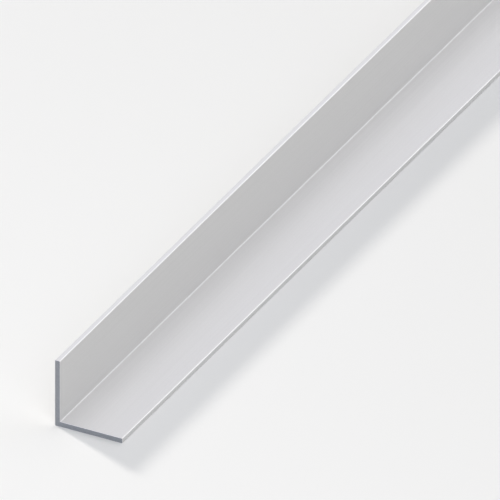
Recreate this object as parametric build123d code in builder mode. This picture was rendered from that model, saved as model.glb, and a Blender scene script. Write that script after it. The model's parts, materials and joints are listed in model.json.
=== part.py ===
from build123d import *
import os

# Equal-leg aluminium angle section: one extruded bar, sawn square at both ends, with
# the edges of the saw cuts broken by a small chamfer.
# All sizes are in millimetres. The bar lies on one leg, as it rests on a level floor,
# and the other leg stands up at the heel. Its length runs along Y, from the near end
# at -Y to the far end at +Y. The flat leg points along +X and the standing leg up +Z.
# The origin is on the floor, under the middle of the bar's box.

# The section, as the extrusion die gives it
flat_leg = 20.0  # outside width of the leg that lies flat
standing_leg = 20.0  # outside height of the leg that stands
wall = 1.5  # thickness of both legs
root_radius = 0.3  # fillet in the inner corner, where the legs meet
arris_radius = 0.25  # rounding of the long outer edges: the heel and both tips

# The stock length, and the small chamfer that breaks the edges of its sawn ends
bar_length = 1000.0
deburr = 0.05

# The two arrises of a tip leave at least a third of its thickness flat, and the chamfer
# at the ends stays within the curve of an arris.
arris = min(arris_radius, wall / 3)
end_chamfer = min(deburr, arris / 2)

heel_x = -flat_leg / 2
tip_x = heel_x + flat_leg
root_corner = (heel_x + wall, wall)

# The section is drawn on the near end's plane, with its up along +Z.
near_end = Plane.XZ.offset(bar_length / 2)

with BuildPart() as angle_section:
    with BuildSketch(near_end) as section:
        with BuildLine() as outline:
            Polyline(
                (heel_x, 0),
                (tip_x, 0),
                (tip_x, wall),
                root_corner,
                (heel_x + wall, standing_leg),
                (heel_x, standing_leg),
                close=True,
            )
        make_face()
        # Every corner but the root is an outer one.
        arrises = section.vertices().sort_by_distance(root_corner)[1:]
        fillet(arrises, radius=arris)
        root = section.vertices().sort_by_distance(root_corner)[0]
        fillet(root, radius=root_radius)
    # One straight run from the near end to the far end
    extrude(amount=-bar_length)
    # Both sawn ends are deburred, all round the section.
    sawn_ends = angle_section.faces().filter_by(Axis.Y)
    chamfer(sawn_ends.edges(), length=end_chamfer)

angle_section.part.label = "angle_section"

os.makedirs("parts", exist_ok=True)
export_step(angle_section.part, "parts/angle_section.step")
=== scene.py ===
import json
import math

import bpy
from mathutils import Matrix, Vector


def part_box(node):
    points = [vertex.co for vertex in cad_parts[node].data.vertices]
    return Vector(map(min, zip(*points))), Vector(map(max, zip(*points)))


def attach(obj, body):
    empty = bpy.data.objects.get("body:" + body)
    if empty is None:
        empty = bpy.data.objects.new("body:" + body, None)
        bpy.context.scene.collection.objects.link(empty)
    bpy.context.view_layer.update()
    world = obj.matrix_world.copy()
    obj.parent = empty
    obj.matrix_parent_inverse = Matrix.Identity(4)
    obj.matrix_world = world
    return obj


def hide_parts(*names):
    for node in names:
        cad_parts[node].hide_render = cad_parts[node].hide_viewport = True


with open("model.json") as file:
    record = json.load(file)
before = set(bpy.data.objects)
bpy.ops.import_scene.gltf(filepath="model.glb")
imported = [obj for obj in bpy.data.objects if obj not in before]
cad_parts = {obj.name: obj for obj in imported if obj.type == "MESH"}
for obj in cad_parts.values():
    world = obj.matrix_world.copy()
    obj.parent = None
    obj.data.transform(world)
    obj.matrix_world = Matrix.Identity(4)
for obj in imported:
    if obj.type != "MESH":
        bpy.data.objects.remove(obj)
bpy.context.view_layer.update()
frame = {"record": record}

# The view
# A parallel view down onto the near end and the open side of the bar, so that its long
# edges never converge. The bar leaves the picture at its upper right corner.

low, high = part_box("angle_section")
VIEW_AZIMUTH = math.radians(27.72)
VIEW_ELEVATION = math.radians(30.79)
VIEW_WIDTH = 0.13142
AIM_FROM_HEEL = 0.0035
AIM_FROM_NEAR_END = 0.10357
CAMERA_DISTANCE = 1.5

aim = Vector((low.x + AIM_FROM_HEEL, low.y + AIM_FROM_NEAR_END, low.z))
level = Vector((math.sin(VIEW_AZIMUTH), -math.cos(VIEW_AZIMUTH), 0))
towards_camera = level * math.cos(VIEW_ELEVATION) + Vector((0, 0, math.sin(VIEW_ELEVATION)))

camera_data = bpy.data.cameras.new("camera")
camera_data.type = "ORTHO"
camera_data.ortho_scale = VIEW_WIDTH
camera_data.clip_start = 0.01
camera_data.clip_end = 20
camera = bpy.data.objects.new("camera", camera_data)
camera.location = aim + towards_camera * CAMERA_DISTANCE
camera.rotation_euler = towards_camera.to_track_quat("Z", "Y").to_euler()
bpy.context.scene.collection.objects.link(camera)
bpy.context.scene.camera = camera

# The angle section
# One bar of aluminium, pressed through a die that gives it its L outline. It is satin
# anodised in its full length, then sawn to the stock length, and the edges of the saw
# cuts are broken with a file.

mount_places = {mount["name"]: mount["pos_m"] for mount in frame["record"]["mounts"]}
SIZES = {
    "Flat Leg": high.x - low.x,
    "Standing Leg": high.z - low.z,
    "Wall": mount_places["flat_leg_inside"][2] - low.z,
    "Root Radius": 0.0003,
    "Arris Radius": 0.00025,
    "Bar Length": high.y - low.y,
    "Deburr": 0.00005,
    "Die Line Width": 0.0004,
    "Die Line Depth": 0.000003,
}
DIE_SEED = 4
POINTS_ON_ARRIS = 12
SMALLEST_STEP = 0.000001


def add_node(tree, kind, sockets=None, **settings):
    """Adds a node. Each named socket gets a value, or the output of another node."""
    node = tree.nodes.new(kind)
    for name, value in settings.items():
        setattr(node, name, value)
    for name, value in (sockets or {}).items():
        if isinstance(value, bpy.types.NodeSocket):
            tree.links.new(value, node.inputs[name])
        else:
            node.inputs[name].default_value = value
    return node


def calculated(tree, operation, *values):
    """The result of a Math node."""
    return add_node(
        tree, "ShaderNodeMath", dict(enumerate(values)), operation=operation
    ).outputs["Value"]


def distance_from_line(tree, place, x, z):
    """How far a place is from a line that runs along Y."""
    across = add_node(
        tree, "ShaderNodeVectorMath", {0: place, 1: (1, 0, 1)}, operation="MULTIPLY"
    ).outputs["Vector"]
    return add_node(
        tree, "ShaderNodeVectorMath", {0: across, 1: (x, 0, z)}, operation="DISTANCE"
    ).outputs["Value"]


def scaled(tree, vector, factor):
    """A vector made longer or shorter by a factor."""
    return add_node(
        tree, "ShaderNodeVectorMath", {0: vector, "Scale": factor}, operation="SCALE"
    ).outputs["Vector"]


def worked_surface():
    """What every finish of the bar shares: lines that a tool left, over a fine grain."""
    group = bpy.data.node_groups.new("worked_surface", "ShaderNodeTree")
    for name, kind in (
        ("Place", "NodeSocketVector"),
        ("Line Place", "NodeSocketVector"),
        ("Grains per Metre", "NodeSocketFloat"),
        ("Grain Share", "NodeSocketFloat"),
    ):
        group.interface.new_socket(name, in_out="INPUT", socket_type=kind)
    group.interface.new_socket("Relief", in_out="OUTPUT", socket_type="NodeSocketFloat")
    given = group.nodes.new("NodeGroupInput").outputs
    lines = add_node(
        group, "ShaderNodeTexNoise", {"Vector": given["Line Place"], "Scale": 1, "Detail": 3}
    )
    grain = add_node(
        group,
        "ShaderNodeTexNoise",
        {"Vector": given["Place"], "Scale": given["Grains per Metre"], "Detail": 2},
    )
    relief = add_node(
        group,
        "ShaderNodeMix",
        {"Factor": given["Grain Share"], "A": lines.outputs["Fac"], "B": grain.outputs["Fac"]},
    )
    add_node(group, "NodeGroupOutput", {"Relief": relief.outputs["Result"]})
    return group


WORKED_SURFACE = worked_surface()
# A worked surface's relief seldom leaves this range.
RELIEF_LOW = 0.3
RELIEF_HIGH = 0.7


def metal(name, tones, roughness, relief_depth, anisotropy=0.0):
    """A metal whose tone, dullness and bumps follow a worked surface.

    Returns the material, the node of that surface and the place that its patterns read.
    """
    material = bpy.data.materials.new(name)
    material.use_nodes = True
    tree = material.node_tree
    place = add_node(tree, "ShaderNodeTexCoord").outputs["Object"]
    surface = add_node(
        tree, "ShaderNodeGroup", {"Place": place}, node_tree=WORKED_SURFACE
    )
    relief = surface.outputs["Relief"]
    tone = add_node(tree, "ShaderNodeValToRGB", {"Fac": relief})
    hollow, crest = tone.color_ramp.elements
    hollow.position, crest.position = RELIEF_LOW, RELIEF_HIGH
    hollow.color, crest.color = ((*colour, 1) for colour in tones)
    dullness = add_node(
        tree,
        "ShaderNodeMapRange",
        {
            "Value": relief,
            "From Min": RELIEF_LOW,
            "From Max": RELIEF_HIGH,
            "To Min": max(roughness),
            "To Max": min(roughness),
        },
    )
    bump = add_node(tree, "ShaderNodeBump", {"Height": relief, "Distance": relief_depth})
    shader = tree.nodes["Principled BSDF"]
    shader.inputs["Metallic"].default_value = 1
    shader.inputs["Anisotropic"].default_value = anisotropy
    tree.links.new(tone.outputs["Color"], shader.inputs["Base Color"])
    tree.links.new(dullness.outputs["Result"], shader.inputs["Roughness"])
    tree.links.new(bump.outputs["Normal"], shader.inputs["Normal"])
    return material, surface, place


def anodised_aluminium():
    """Satin silver anodising over the die's faint long lines, which spread light across them."""
    material, surface, place = metal(
        "anodised_aluminium",
        tones=((0.635, 0.635, 0.607), (0.665, 0.665, 0.637)),
        roughness=(0.48, 0.52),
        relief_depth=0.000002,
        anisotropy=0.8,
    )
    tree = material.node_tree
    # A brighter tone, painted on the curves below as a highlight.
    painted_highlight_tone = (0.82, 0.82, 0.775, 1)
    lines_per_metre = (2500, 8, 2500)
    drawn = add_node(tree, "ShaderNodeMapping", {"Vector": place, "Scale": lines_per_metre})
    tree.links.new(drawn.outputs["Vector"], surface.inputs["Line Place"])
    surface.inputs["Grains per Metre"].default_value = 2600
    surface.inputs["Grain Share"].default_value = 0.5
    # The lines run along Y, so a highlight is widest round that axis.
    across = add_node(tree, "ShaderNodeTangent", direction_type="RADIAL", axis="Y")
    shader = tree.nodes["Principled BSDF"]
    tree.links.new(across.outputs["Tangent"], shader.inputs["Tangent"])

    # The tight curves that face out of the L get a painted highlight: a brighter tone that
    # stands in for the light lines along them, most where they look halfway between the legs.
    # The arrises get more of it than the root. Halfway, the product of X and Z is a half, so 2
    # gives the full painted highlight.
    root_highlight_share = 0.45
    arris_highlight_share = 2
    normal = add_node(tree, "ShaderNodeNewGeometry").outputs["Normal"]
    facing = add_node(tree, "ShaderNodeSeparateXYZ", {"Vector": normal}).outputs
    out_of_l = calculated(tree, "MULTIPLY", facing["X"], facing["Z"])
    halfway = calculated(tree, "MAXIMUM", out_of_l, 0)
    root = (low.x + SIZES["Wall"], low.z + SIZES["Wall"])
    highlight_share = add_node(
        tree,
        "ShaderNodeMapRange",
        {
            "Value": distance_from_line(tree, place, *root),
            "From Min": 2 * SIZES["Root Radius"],
            "From Max": 3 * SIZES["Root Radius"],
            "To Min": root_highlight_share,
            "To Max": arris_highlight_share,
        },
    )
    painted_highlight = calculated(tree, "MULTIPLY", halfway, highlight_share.outputs["Result"])
    # The base colour is mixed towards the painted highlight tone here.
    tone = add_node(
        tree,
        "ShaderNodeMix",
        {
            "Factor": painted_highlight,
            "A": shader.inputs["Base Color"].links[0].from_socket,
            "B": painted_highlight_tone,
        },
        data_type="RGBA",
    )
    tree.links.new(tone.outputs["Result"], shader.inputs["Base Color"])
    return material


def sawn_aluminium():
    """Bare metal, dulled by the wide arcs that the saw's teeth cut across the section, its tone
    darkened and blued with painted shade.
    """
    material, surface, place = metal(
        "sawn_aluminium",
        # These tones are bare metal's grey, darkened and blued as painted shade on the end that
        # faces away from the light.
        tones=((0.405, 0.425, 0.445), (0.48, 0.505, 0.525)),
        roughness=(0.8, 0.9),
        relief_depth=0.000004,
    )
    tree = material.node_tree
    saw_axle = (0.06, 0.13)
    arcs_per_metre = 3500
    arcs = calculated(
        tree, "MULTIPLY", distance_from_line(tree, place, *saw_axle), arcs_per_metre
    )
    line_place = add_node(tree, "ShaderNodeCombineXYZ", {"X": arcs})
    tree.links.new(line_place.outputs["Vector"], surface.inputs["Line Place"])
    surface.inputs["Grains per Metre"].default_value = 3000
    surface.inputs["Grain Share"].default_value = 0.4
    return material


def filed_aluminium():
    """The bright metal of the broken edges, with the file's short strokes."""
    material, surface, place = metal(
        "filed_aluminium",
        tones=((0.8, 0.8, 0.82), (0.9, 0.9, 0.92)),
        roughness=(0.3, 0.4),
        relief_depth=0.000002,
    )
    tree = material.node_tree
    strokes_per_metre = (900, 3000, 900)
    strokes = add_node(tree, "ShaderNodeMapping", {"Vector": place, "Scale": strokes_per_metre})
    tree.links.new(strokes.outputs["Vector"], surface.inputs["Line Place"])
    surface.inputs["Grains per Metre"].default_value = 3000
    surface.inputs["Grain Share"].default_value = 0.3
    return material


def sharp_outline(tree, given):
    """The six corners of the section, round from the heel.

    Returns the curve, and which of its corners is the root.
    """
    flat, standing, wall = given["Flat Leg"], given["Standing Leg"], given["Wall"]
    corners = ((0, 0), (flat, 0), (flat, wall), (wall, wall), (wall, standing), (0, standing))
    index = add_node(tree, "GeometryNodeInputIndex").outputs["Index"]
    place = add_node(tree, "GeometryNodeIndexSwitch", {"Index": index}, data_type="VECTOR")
    while len(place.index_switch_items) < len(corners):
        place.index_switch_items.new()
    for number, (across, up) in enumerate(corners):
        corner = add_node(tree, "ShaderNodeCombineXYZ", {"X": across, "Y": up})
        tree.links.new(corner.outputs["Vector"], place.inputs[str(number)])
    loop = add_node(tree, "GeometryNodeCurvePrimitiveCircle", {"Resolution": len(corners)})
    outline = add_node(
        tree,
        "GeometryNodeSetPosition",
        {"Geometry": loop.outputs["Curve"], "Position": place.outputs["Output"]},
    )
    is_root = add_node(
        tree,
        "FunctionNodeCompare",
        {"A": index, "B": corners.index((wall, wall))},
        data_type="INT",
        operation="EQUAL",
    )
    return outline.outputs["Geometry"], is_root.outputs["Result"]


def rounded_outline(tree, given):
    """The section as the die gives it: arrises on the outer corners, a fillet in the root."""
    outline, is_root = sharp_outline(tree, given)
    radius = add_node(
        tree,
        "GeometryNodeSwitch",
        {"Switch": is_root, "False": given["Arris Radius"], "True": given["Root Radius"]},
        input_type="FLOAT",
    )
    return add_node(
        tree,
        "GeometryNodeFilletCurve",
        {"Curve": outline, "Radius": radius.outputs["Output"], "Count": POINTS_ON_ARRIS},
        mode="POLY",
    ).outputs["Curve"]


def with_die_lines(tree, given, outline):
    """Presses the die's shallow lines into the flats.

    Returns the outline and its inward direction.
    """
    position = add_node(tree, "GeometryNodeInputPosition").outputs["Position"]
    next_point = add_node(tree, "GeometryNodeOffsetPointInCurve", {"Offset": 1})
    next_position = add_node(
        tree,
        "GeometryNodeFieldAtIndex",
        {"Value": position, "Index": next_point.outputs["Point Index"]},
        data_type="FLOAT_VECTOR",
    ).outputs["Value"]
    flat = add_node(
        tree, "ShaderNodeVectorMath", {0: position, 1: next_position}, operation="DISTANCE"
    ).outputs["Value"]
    cuts = calculated(tree, "FLOOR", calculated(tree, "DIVIDE", flat, given["Die Line Width"]))
    divided = add_node(tree, "GeometryNodeSubdivideCurve", {"Curve": outline, "Cuts": cuts})

    tangent = add_node(tree, "GeometryNodeInputTangent").outputs["Tangent"]
    left = add_node(
        tree, "ShaderNodeVectorMath", {0: (0, 0, 1), 1: tangent}, operation="CROSS_PRODUCT"
    )
    kept = add_node(
        tree, "GeometryNodeCaptureAttribute", {"Geometry": divided.outputs["Curve"]}
    )
    kept.capture_items.new("VECTOR", "Inward")
    tree.links.new(left.outputs["Vector"], kept.inputs["Inward"])
    inward = kept.outputs["Inward"]

    so_far = add_node(tree, "GeometryNodeSplineParameter").outputs["Length"]
    lines_so_far = calculated(tree, "DIVIDE", so_far, given["Die Line Width"])
    wear = add_node(
        tree,
        "ShaderNodeTexNoise",
        {"W": calculated(tree, "ADD", lines_so_far, given["Die Seed"]), "Scale": 1},
        noise_dimensions="1D",
    )
    depth = calculated(tree, "MULTIPLY", wear.outputs["Fac"], given["Die Line Depth"])
    pressed = add_node(
        tree,
        "GeometryNodeSetPosition",
        {"Geometry": kept.outputs["Geometry"], "Offset": scaled(tree, inward, depth)},
    )
    return pressed.outputs["Geometry"], inward


def extruded_angle():
    """The bar as a rule: its outline is run from one saw cut to the other, chamfered and capped.

    The outline is worked out in X and Y, and the bar stands up along Z until it is laid down.
    Returns the tree and the identifier of each named input.
    """
    tree = bpy.data.node_groups.new("extruded_angle", "GeometryNodeTree")
    identifiers = {}
    for name, kind in (
        *((name, "NodeSocketFloat") for name in SIZES),
        ("Die Seed", "NodeSocketInt"),
        ("Far Heel", "NodeSocketVector"),
        ("Finish", "NodeSocketMaterial"),
        ("Filed Edge", "NodeSocketMaterial"),
        ("Saw Cut", "NodeSocketMaterial"),
    ):
        socket = tree.interface.new_socket(name, in_out="INPUT", socket_type=kind)
        identifiers[name] = socket.identifier
    tree.interface.new_socket("Bar", in_out="OUTPUT", socket_type="NodeSocketGeometry")
    given = tree.nodes.new("NodeGroupInput").outputs

    outline, inward = with_die_lines(tree, given, rounded_outline(tree, given))
    deburr = given["Deburr"]
    into_cut = scaled(tree, inward, deburr)
    out_of_cut = scaled(tree, inward, calculated(tree, "MULTIPLY", deburr, -1))
    cut_outline = add_node(
        tree, "GeometryNodeSetPosition", {"Geometry": outline, "Offset": into_cut}
    ).outputs["Geometry"]

    # A chamfer, the long run and another chamfer, each drawn on from the one before
    both_chamfers = calculated(tree, "MULTIPLY", deburr, 2)
    long_run = calculated(tree, "SUBTRACT", given["Bar Length"], both_chamfers)
    sides = add_node(tree, "GeometryNodeCurveToMesh", {"Curve": cut_outline}).outputs["Mesh"]
    rim = None
    for distance, step_aside in ((deburr, out_of_cut), (long_run, None), (deburr, into_cut)):
        along = add_node(tree, "ShaderNodeCombineXYZ", {"Z": distance})
        drawn = add_node(
            tree,
            "GeometryNodeExtrudeMesh",
            {"Mesh": sides, "Offset": along.outputs["Vector"]},
            mode="EDGES",
        )
        if rim:
            tree.links.new(rim, drawn.inputs["Selection"])
        sides, rim = drawn.outputs["Mesh"], drawn.outputs["Top"]
        if step_aside:
            sides = add_node(
                tree,
                "GeometryNodeSetPosition",
                {"Geometry": sides, "Selection": rim, "Offset": step_aside},
            ).outputs["Geometry"]

    # Edges drawn along +Z give faces that look into the bar, so they are turned round.
    outer_faces = add_node(tree, "GeometryNodeFlipFaces", {"Mesh": sides}).outputs["Mesh"]
    cap = add_node(tree, "GeometryNodeFillCurve", {"Curve": cut_outline}, mode="NGONS")
    far_cap = add_node(tree, "GeometryNodeFlipFaces", {"Mesh": cap.outputs["Mesh"]})
    bar_length = add_node(tree, "ShaderNodeCombineXYZ", {"Z": given["Bar Length"]})
    near_cap = add_node(
        tree,
        "GeometryNodeTransform",
        {"Geometry": cap.outputs["Mesh"], "Translation": bar_length.outputs["Vector"]},
    )
    joined = add_node(tree, "GeometryNodeJoinGeometry")
    for part in (outer_faces, far_cap.outputs["Mesh"], near_cap.outputs["Geometry"]):
        tree.links.new(part, joined.inputs["Geometry"])
    closed = add_node(
        tree,
        "GeometryNodeMergeByDistance",
        {"Geometry": joined.outputs["Geometry"], "Distance": SMALLEST_STEP},
    )
    laid_down = add_node(
        tree,
        "GeometryNodeTransform",
        {
            "Geometry": closed.outputs["Geometry"],
            "Translation": given["Far Heel"],
            "Rotation": (math.pi / 2, 0, 0),
        },
    )

    # The arrises are round, and the filed chamfers and saw cuts have crisp edges.
    crisp_from = math.radians(30)
    bend = add_node(tree, "GeometryNodeInputMeshEdgeAngle").outputs["Unsigned Angle"]
    is_crisp = calculated(tree, "GREATER_THAN", bend, crisp_from)
    smooth = add_node(
        tree, "GeometryNodeSetShadeSmooth", {"Geometry": laid_down.outputs["Geometry"]}
    )
    creased = add_node(
        tree,
        "GeometryNodeStoreNamedAttribute",
        {"Geometry": smooth.outputs["Geometry"], "Name": "sharp_edge", "Value": is_crisp},
        data_type="BOOLEAN",
        domain="EDGE",
    )

    # A chamfer's faces lean halfway towards the bar's ends, and a saw cut's faces look
    # straight along it. Each finish covers the faces that lean that far, over the last.
    normal = add_node(tree, "GeometryNodeInputNormal").outputs["True Normal"]
    facing = add_node(tree, "ShaderNodeSeparateXYZ", {"Vector": normal}).outputs["Y"]
    end_share = calculated(tree, "ABSOLUTE", facing)
    bar = add_node(
        tree, "GeometryNodeRealizeInstances", {"Geometry": creased.outputs["Geometry"]}
    ).outputs["Geometry"]
    for name, least in (("Finish", -1), ("Filed Edge", 0.3), ("Saw Cut", 0.9)):
        bar = add_node(
            tree,
            "GeometryNodeSetMaterial",
            {
                "Geometry": bar,
                "Selection": calculated(tree, "GREATER_THAN", end_share, least),
                "Material": given[name],
            },
        ).outputs["Geometry"]
    add_node(tree, "NodeGroupOutput", {"Bar": bar})
    return tree, identifiers


bar = bpy.data.objects.new("angle_bar", bpy.data.meshes.new("angle_bar"))
bpy.context.scene.collection.objects.link(bar)
extrusion = bar.modifiers.new("extrusion", "NODES")
extrusion.node_group, identifiers = extruded_angle()
for name, value in {
    **SIZES,
    "Die Seed": DIE_SEED,
    "Far Heel": (low.x, high.y, low.z),
    "Finish": anodised_aluminium(),
    "Filed Edge": filed_aluminium(),
    "Saw Cut": sawn_aluminium(),
}.items():
    extrusion[identifiers[name]] = value

depsgraph = bpy.context.evaluated_depsgraph_get()
pressed_bar = bar.evaluated_get(depsgraph)
pressed_mesh = bpy.data.meshes.new_from_object(pressed_bar, depsgraph=depsgraph)
bar.modifiers.remove(extrusion)
bar.data = pressed_mesh
# The tree's meshes start with an empty slot, which no face is left in.
bar.data.materials.pop(index=0)
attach(bar, "root")
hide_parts("angle_section")

# The floor
# A wide sheet of matt white paper under the bar. Its colour is painted a little brighter
# towards the viewer's left, a painted pool of the window's light there.

FLOOR_HALF = 6.0
PAPER_WITH_PAINTED_LIGHT = (0.918, 0.918, 0.918, 1)
DIM_PAPER = (0.857, 0.857, 0.857, 1)
BRIGHT_TO_DIM = Vector((0.576, 0.817, 0))
BRIGHT_UNTIL = -0.025
DIM_FROM = 0.16

floor_mesh = bpy.data.meshes.new("floor")
floor_corners = [
    (x * FLOOR_HALF, y * FLOOR_HALF, low.z) for x, y in ((-1, -1), (1, -1), (1, 1), (-1, 1))
]
floor_mesh.from_pydata(floor_corners, [], [(0, 1, 2, 3)])
floor = bpy.data.objects.new("floor", floor_mesh)
bpy.context.scene.collection.objects.link(floor)

paper = bpy.data.materials.new("white_paper")
paper.use_nodes = True
paper_tree = paper.node_tree
place = add_node(paper_tree, "ShaderNodeTexCoord").outputs["Object"]
from_near_heel = add_node(
    paper_tree,
    "ShaderNodeVectorMath",
    {0: place, 1: (low.x, low.y, low.z)},
    operation="SUBTRACT",
)
distance = add_node(
    paper_tree,
    "ShaderNodeVectorMath",
    {0: from_near_heel.outputs["Vector"], 1: BRIGHT_TO_DIM},
    operation="DOT_PRODUCT",
)
dimness = add_node(
    paper_tree,
    "ShaderNodeMapRange",
    {"Value": distance.outputs["Value"], "From Min": BRIGHT_UNTIL, "From Max": DIM_FROM},
)
# The paper's colour carries painted light, brighter towards the window.
tone = add_node(paper_tree, "ShaderNodeValToRGB", {"Fac": dimness.outputs["Result"]})
tone.color_ramp.elements[0].color = PAPER_WITH_PAINTED_LIGHT
tone.color_ramp.elements[1].color = DIM_PAPER
paper_shader = paper_tree.nodes["Principled BSDF"]
paper_shader.inputs["Roughness"].default_value = 1
paper_shader.inputs["Specular IOR Level"].default_value = 0
paper_tree.links.new(tone.outputs["Color"], paper_shader.inputs["Base Color"])
floor_mesh.materials.append(paper)

# The light
# A white room, seen by the camera and in the metal, lights everything evenly. A window
# on the left throws the shadow, and a broad soft panel shines from behind on the right.
# A front panel lights the paper alone, because the metal would mirror it too brightly.

ROOM_SEEN = (0.845, 0.842, 0.948, 1)
ROOM_LIGHT = (0.342, 0.352, 0.362, 1)

world = bpy.data.worlds.new("white_room")
world.use_nodes = True
bpy.context.scene.world = world
room_tree = world.node_tree
rays = add_node(room_tree, "ShaderNodeLightPath").outputs
looking = calculated(
    room_tree,
    "ADD",
    calculated(room_tree, "ADD", rays["Is Camera Ray"], rays["Is Glossy Ray"]),
    rays["Is Transmission Ray"],
)
room = add_node(room_tree, "ShaderNodeValToRGB", {"Fac": looking})
room.color_ramp.elements[0].color = ROOM_LIGHT
room.color_ramp.elements[1].color = ROOM_SEEN
room_tree.links.new(room.outputs["Color"], room_tree.nodes["Background"].inputs["Color"])


def distant_light(name, direction, width, strength, colour):
    """Light from one side of the sky. A strength of 1 lights a facing white card fully."""
    data = bpy.data.lights.new(name, "SUN")
    data.energy = strength * math.pi
    data.angle = math.radians(width)
    data.color = colour
    light = bpy.data.objects.new(name, data)
    light.rotation_euler = Vector(direction).to_track_quat("Z", "Y").to_euler()
    bpy.context.scene.collection.objects.link(light)
    return light


distant_light("window", (-29.5, 12, 20), width=6, strength=0.465, colour=(1, 0.96, 0.9))
distant_light("soft_panel", (0.31, 1, 0.92), width=65, strength=0.215, colour=(1, 0.99, 1.02))
front_panel = distant_light(
    "front_panel", (0.5, -1, 0.87), width=60, strength=0.44, colour=(1, 1, 1)
)
front_panel.visible_glossy = False

bpy.context.scene.view_settings.view_transform = "Standard"
